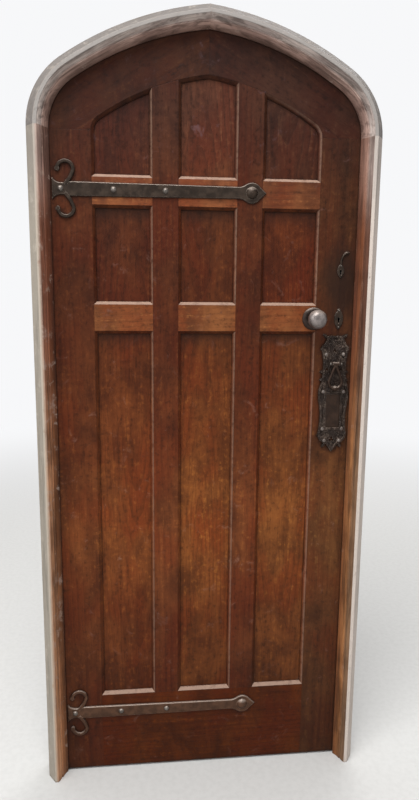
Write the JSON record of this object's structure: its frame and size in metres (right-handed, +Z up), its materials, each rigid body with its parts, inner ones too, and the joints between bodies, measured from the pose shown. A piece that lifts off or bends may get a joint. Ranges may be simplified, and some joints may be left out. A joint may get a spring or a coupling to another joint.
{
  "type": "arched wooden door",
  "caption": "Four-centred arched wooden door leaf of framed flat panels in a moulded wooden frame, with wrought strap fronts, knob, letter plate with knocker, and rim locks.",
  "frame": {"origin": "on the floor, at the middle of the wall opening, in the plane of the leaf's front face (the mount wall_opening)", "axes": "+Z up; +X across the opening towards the lock side; +Y from the outside towards the room, the way the leaf opens"},
  "size_m": [0.862, 0.187, 1.9943],
  "materials": {
    "leaf_wood": "weathered oiled oak, satin",
    "panel_wood": "weathered oiled oak, satin",
    "frame_wood": "weathered oak with lime and grey paint along its outer edge",
    "dark_iron": "wrought and cast iron, blackened and worn",
    "knob_iron": "iron, rubbed bright",
    "hinge_iron": "iron, dull",
    "lock_case_paint": "black paint, satin",
    "lock_steel": "brushed, oiled",
    "screw_steel": "dull steel"
  },
  "bodies": {
    "frame": {"jamb_left": "frame_wood", "jamb_right": "frame_wood", "frame_head_left": "frame_wood", "frame_head_right": "frame_wood", "frame_crown_key": "frame_wood", "frame_screws": "screw_steel", "hinge_plate_upper_frame": "hinge_iron", "hinge_plate_lower_frame": "hinge_iron", "hinge_pins": "hinge_iron", "lock_keep": "lock_case_paint", "upper_keep": "lock_case_paint"},
    "leaf": {"hinge_stile": "leaf_wood", "lock_stile": "leaf_wood", "head_rail_left": "leaf_wood", "head_rail_right": "leaf_wood", "muntin_left": "leaf_wood", "muntin_right": "leaf_wood", "bottom_rail": "leaf_wood", "lock_rail_left": "leaf_wood", "lock_rail_centre": "leaf_wood", "lock_rail_right": "leaf_wood", "hinge_rail_left": "leaf_wood", "hinge_rail_centre": "leaf_wood", "hinge_rail_right": "leaf_wood", "panel_lower_left": "panel_wood", "panel_lower_centre": "panel_wood", "panel_lower_right": "panel_wood", "panel_middle_left": "panel_wood", "panel_middle_centre": "panel_wood", "panel_middle_right": "panel_wood", "panel_top_left": "panel_wood", "panel_top_centre": "panel_wood", "panel_top_right": "panel_wood", "upper_strap": "dark_iron", "lower_strap": "dark_iron", "strap_studs": "dark_iron", "leaf_screws": "screw_steel", "hinge_plate_upper_leaf": "hinge_iron", "hinge_plate_lower_leaf": "hinge_iron", "lock_plate": "lock_case_paint", "lock_case": "lock_case_paint", "latch_spring": "lock_steel", "outer_rose": "knob_iron", "keyhole_plate": "dark_iron", "upper_keyhole_plate": "dark_iron", "keyhole_pins": "dark_iron", "upper_lock_case": "lock_case_paint", "letter_plate": "dark_iron", "flap_pin": "dark_iron", "knocker_pin": "dark_iron"},
    "knob": {"lock_follower": "lock_steel", "spindle": "lock_steel", "outer_knob": "knob_iron", "inner_knob": "knob_iron"},
    "latch": {"latch_bolt": "lock_steel"},
    "main_dead_bolt": {"dead_bolt": "lock_steel"},
    "upper_dead_bolt": {"upper_bolt": "lock_steel"},
    "flap": {"letter_flap": "dark_iron"},
    "knocker": {"knocker": "dark_iron"}
  },
  "joints": [
    {"name": "leaf_swing", "type": "hinge", "parent": "frame", "child": "leaf", "pos_m": [-0.3915, 0.0478, 0], "axis": [0, 0, 1], "range_deg": [0, 100]},
    {"name": "knob_turn", "type": "hinge", "parent": "leaf", "child": "knob", "pos_m": [0.277, 0, 1.266], "axis": [0, 1, 0], "range_deg": [0, 45]},
    {"name": "latch_slide", "type": "slide", "parent": "leaf", "child": "latch", "axis": [1, 0, 0], "range_m": [0, 0.012]},
    {"name": "main_bolt_slide", "type": "slide", "parent": "leaf", "child": "main_dead_bolt", "axis": [1, 0, 0], "range_m": [0, 0.012]},
    {"name": "upper_bolt_slide", "type": "slide", "parent": "leaf", "child": "upper_dead_bolt", "axis": [1, 0, 0], "range_m": [0, 0.012]},
    {"name": "flap_swing", "type": "hinge", "parent": "leaf", "child": "flap", "pos_m": [0.337, -0.0015, 1.0678], "axis": [1, 0, 0], "range_deg": [0, 75]},
    {"name": "knocker_swing", "type": "hinge", "parent": "leaf", "child": "knocker", "pos_m": [0.337, -0.0175, 1.15], "axis": [-1, 0, 0], "range_deg": [0, 90]}
  ],
  "couplings": [
    {"joint": "latch_slide", "follows": "knob_turn", "m_per_rad": 0.015279}
  ]
}
